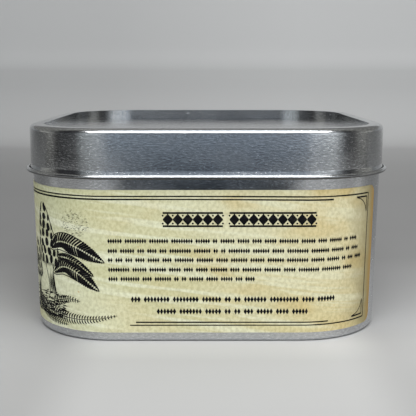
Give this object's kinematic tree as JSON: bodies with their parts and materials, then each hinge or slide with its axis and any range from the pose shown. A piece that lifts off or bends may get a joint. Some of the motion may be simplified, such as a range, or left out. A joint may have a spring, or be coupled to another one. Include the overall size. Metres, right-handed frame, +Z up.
{
  "type": "square slip-lid tin",
  "caption": "Square tinplate tin with rounded corners, a slip-on lid with a sunken panel and rolled bead, and an aged printed paper label round its body.",
  "frame": {"origin": "middle of the tin on the plane that its foot ring stands on", "axes": "+Z up through the lid, -Y out of the label's front, +X towards the side that the label leaves bare"},
  "size_m": [0.1076, 0.1076, 0.06],
  "materials": {
    "tinplate": "bare satin tinplate with fine speckle, small scuffs and short handling scratches",
    "label_paper": "matt aged parchment paper, browned along its edges, with dark printed rules and ornament"
  },
  "bodies": {
    "root": {"tin_body": "tinplate", "lid": "tinplate", "wrap_label": "label_paper"}
  },
  "joints": []
}
